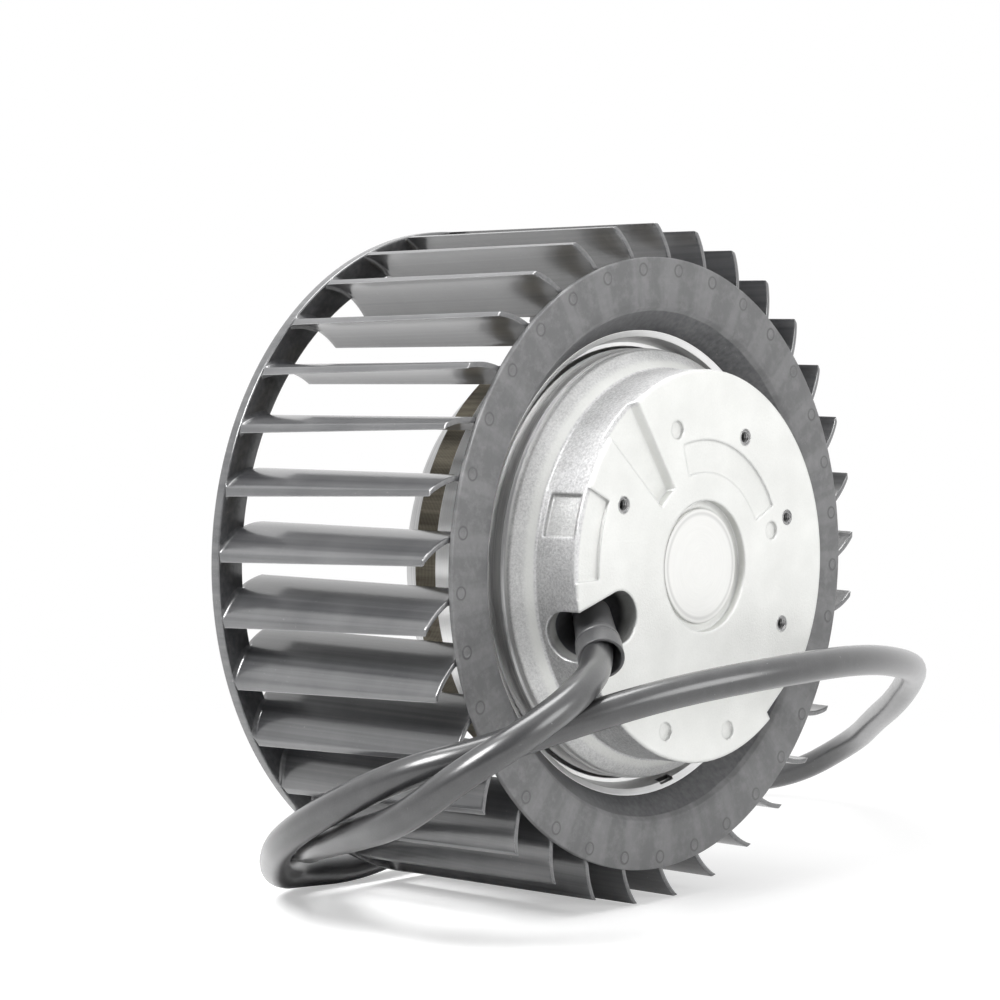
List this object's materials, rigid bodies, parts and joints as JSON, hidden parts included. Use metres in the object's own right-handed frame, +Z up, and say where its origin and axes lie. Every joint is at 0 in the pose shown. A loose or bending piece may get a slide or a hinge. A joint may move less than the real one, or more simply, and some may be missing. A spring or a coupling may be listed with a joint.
{
  "type": "forward-curved centrifugal fan",
  "caption": "Drum-shaped wheel of forward-curved blades on an external-rotor motor, which bolts on by a round cast flange and has a length of round cable.",
  "frame": {"origin": "centre of the stator flange's mounting face, on the fan axis", "axes": "-Y out of the mounting face along the fan axis, +Y towards the inlet, +Z up as pictured"},
  "size_m": [0.3042, 0.2298, 0.18],
  "materials": {
    "wheel_plastic": "satin, faintly streaked, glass-filled",
    "turned_aluminium": "bright, finely turned",
    "rotor_laminations": "brown steel sheet edges",
    "bush_steel": "turned",
    "shaft_steel": "ground",
    "clip_steel": "phosphated spring steel",
    "bearing_steel": "ground and polished",
    "cage_steel": "pressed sheet",
    "cast_aluminium": "die-cast, grainy wall, skimmed face",
    "cap_steel": "zinc-plated",
    "stator_laminations": "steel sheet edges",
    "insulator_plastic": "moulded",
    "copper": "enamelled wire, varnished",
    "protector_shell": "shrink sleeve",
    "lead_insulation": "satin",
    "sleeve_rubber": "matt",
    "cable_jacket": "satin black",
    "core_insulation": "satin",
    "tinned_ferrules": "tinned"
  },
  "bodies": {
    "stator": {"stator_flange": "cast_aluminium", "end_cap": "cap_steel", "bearing_outer_near": "bearing_steel", "bearing_outer_far": "bearing_steel", "bearing_clip": "clip_steel", "spring_washer": "clip_steel", "stator_stack": "stator_laminations", "insulator_near": "insulator_plastic", "insulator_far": "insulator_plastic", "stator_winding": "copper", "thermal_protector": "protector_shell", "lead_wires": "lead_insulation", "cable_sleeve": "sleeve_rubber", "cable": "cable_jacket", "cable_cores": "core_insulation", "core_ferrules": "tinned_ferrules"},
    "rotor": {"impeller": "wheel_plastic", "rotor_near_ring": "turned_aluminium", "rotor_stack": "rotor_laminations", "rotor_bell": "turned_aluminium", "rotor_hub": "bush_steel", "shaft": "shaft_steel", "shaft_clip": "clip_steel", "bearing_inner_near": "bearing_steel", "bearing_inner_far": "bearing_steel"},
    "balls_near": {"bearing_cage_near": "cage_steel", "bearing_balls_near": "bearing_steel"},
    "balls_far": {"bearing_cage_far": "cage_steel", "bearing_balls_far": "bearing_steel"}
  },
  "joints": [
    {"name": "rotor_spin", "type": "hinge", "parent": "stator", "child": "rotor", "pos_m": [0, 0, 0], "axis": [0, -1, 0], "continuous": true},
    {"name": "ball_orbit_near", "type": "hinge", "parent": "stator", "child": "balls_near", "pos_m": [0, 0, 0], "axis": [0, -1, 0], "continuous": true},
    {"name": "ball_orbit_far", "type": "hinge", "parent": "stator", "child": "balls_far", "pos_m": [0, 0, 0], "axis": [0, -1, 0], "continuous": true}
  ],
  "couplings": [
    {"joint": "ball_orbit_near", "follows": "rotor_spin", "ratio": 0.368},
    {"joint": "ball_orbit_far", "follows": "rotor_spin", "ratio": 0.368}
  ]
}
